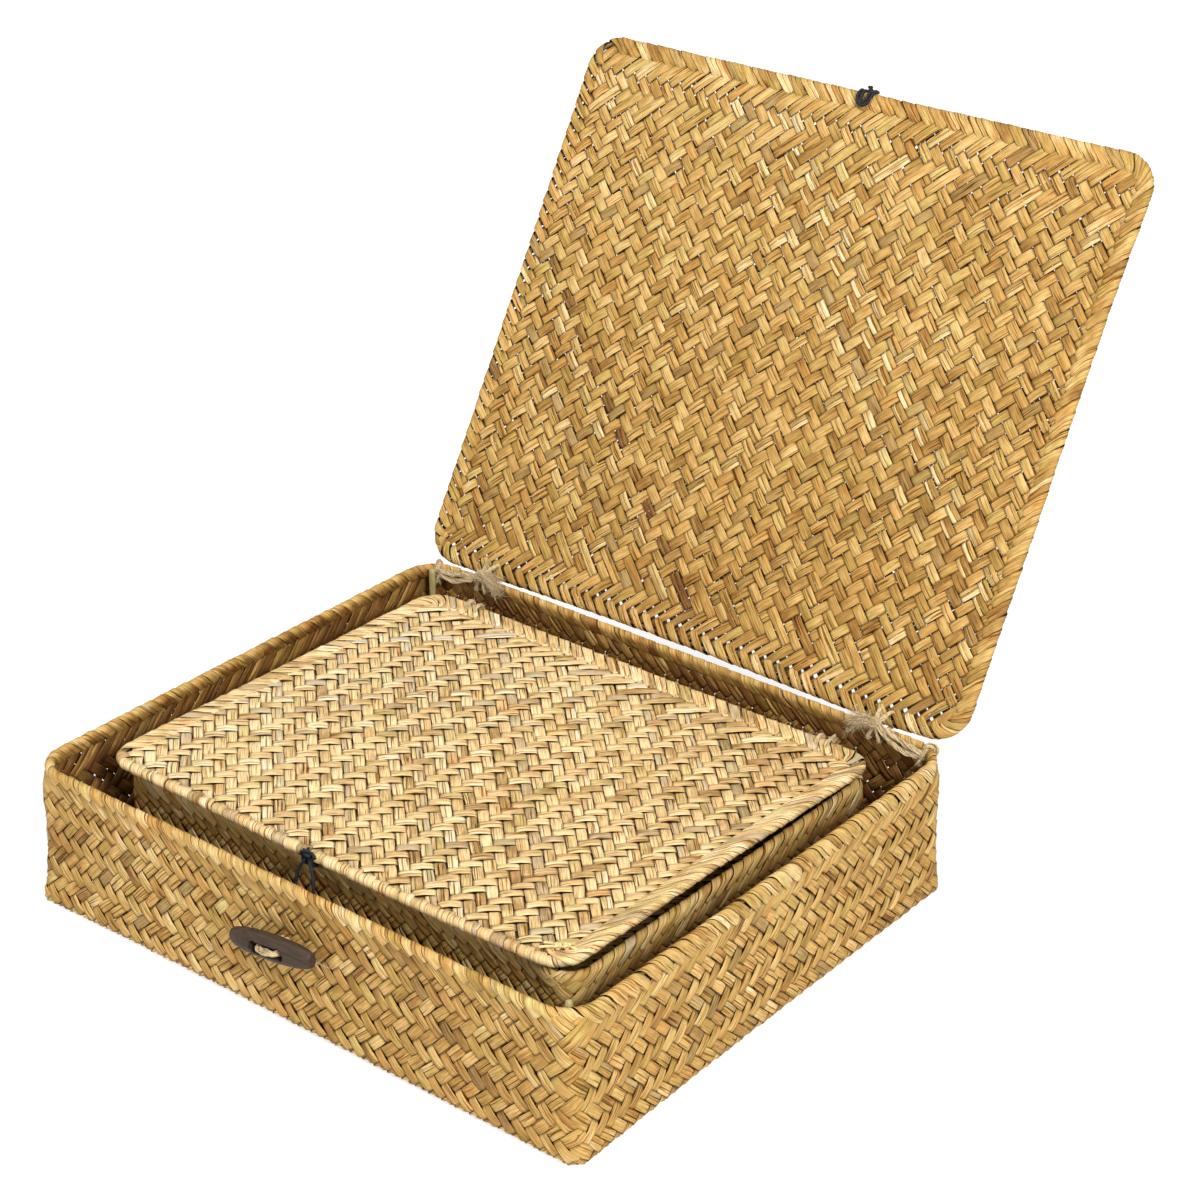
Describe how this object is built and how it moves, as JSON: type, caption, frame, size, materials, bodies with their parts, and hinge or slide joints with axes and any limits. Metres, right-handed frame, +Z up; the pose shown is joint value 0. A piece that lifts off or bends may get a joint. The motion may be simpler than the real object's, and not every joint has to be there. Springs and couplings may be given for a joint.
{
  "type": "nesting woven lidded box set",
  "caption": "Rectangular woven boxes, one inside the other, each with a twine-hinged lid fastened by a cord loop over a toggle.",
  "frame": {"origin": "middle of the large box's base, on the surface it stands on", "axes": "+X to the right seen from the toggle side, +Y from the toggle side to the hinge side, +Z up"},
  "size_m": [0.338, 0.4543, 0.3305],
  "materials": {
    "weave": "woven dried seagrass, satin",
    "lid_weave": "woven dried seagrass, paler, satin",
    "rod": "split bamboo, plain",
    "twine": "twisted jute, matte",
    "toggle": "stained, satin",
    "cord": "twisted cord, satin"
  },
  "bodies": {
    "outer_box": {"outer_basket": "weave", "outer_rim_hoop": "rod", "outer_corner_stake_front_left": "rod", "outer_corner_stake_front_right": "rod", "outer_corner_stake_back_left": "rod", "outer_corner_stake_back_right": "rod", "outer_hinge_tie_left": "twine", "outer_hinge_tie_right": "twine"},
    "outer_lid": {"outer_lid": "weave", "outer_lid_hoop": "rod", "outer_loop_knot": "cord"},
    "outer_loop": {"outer_loop": "cord"},
    "outer_toggle": {"outer_toggle": "toggle", "outer_toggle_twine": "twine"},
    "inner_box": {"inner_basket": "weave", "inner_rim_hoop": "rod", "inner_corner_stake_front_left": "rod", "inner_corner_stake_front_right": "rod", "inner_corner_stake_back_left": "rod", "inner_corner_stake_back_right": "rod", "inner_hinge_tie_left": "twine", "inner_hinge_tie_right": "twine"},
    "inner_lid": {"inner_lid": "lid_weave", "inner_lid_hoop": "rod", "inner_loop_knot": "cord"},
    "inner_loop": {"inner_loop": "cord"},
    "inner_toggle": {"inner_toggle": "toggle", "inner_toggle_twine": "twine"}
  },
  "joints": [
    {"name": "outer_lid_hinge", "type": "hinge", "parent": "outer_box", "child": "outer_lid", "pos_m": [0, 0.14, 0.0762], "axis": [-1, 0, 0], "range_deg": [-121, 0], "deforming": ["outer_hinge_tie_left", "outer_hinge_tie_right"]},
    {"name": "outer_loop_swing", "type": "hinge", "parent": "outer_lid", "child": "outer_loop", "pos_m": [0, 0.29601, 0.32374], "axis": [-1, 0, 0], "range_deg": [-256.1, 7.8]},
    {"name": "outer_toggle_swivel", "type": "hinge", "parent": "outer_box", "child": "outer_toggle", "pos_m": [0, -0.1376, 0.0456], "axis": [0, 1, 0], "range_deg": [-20, 20]},
    {"name": "inner_box_lift", "type": "slide", "parent": "outer_box", "child": "inner_box", "axis": [0, 0, 1], "range_m": [0, 0.11]},
    {"name": "inner_lid_hinge", "type": "hinge", "parent": "inner_box", "child": "inner_lid", "pos_m": [0, 0.116, 0.0682], "axis": [-1, 0, 0], "range_deg": [0, 121], "deforming": ["inner_hinge_tie_left", "inner_hinge_tie_right"]},
    {"name": "inner_loop_swing", "type": "hinge", "parent": "inner_lid", "child": "inner_loop", "pos_m": [-0.008, -0.11704, 0.07444], "axis": [-1, 0, 0], "range_deg": [0, 7]},
    {"name": "inner_toggle_swivel", "type": "hinge", "parent": "inner_box", "child": "inner_toggle", "pos_m": [0, -0.1056, 0.0418], "axis": [0, 1, 0], "range_deg": [-20, 20]}
  ]
}
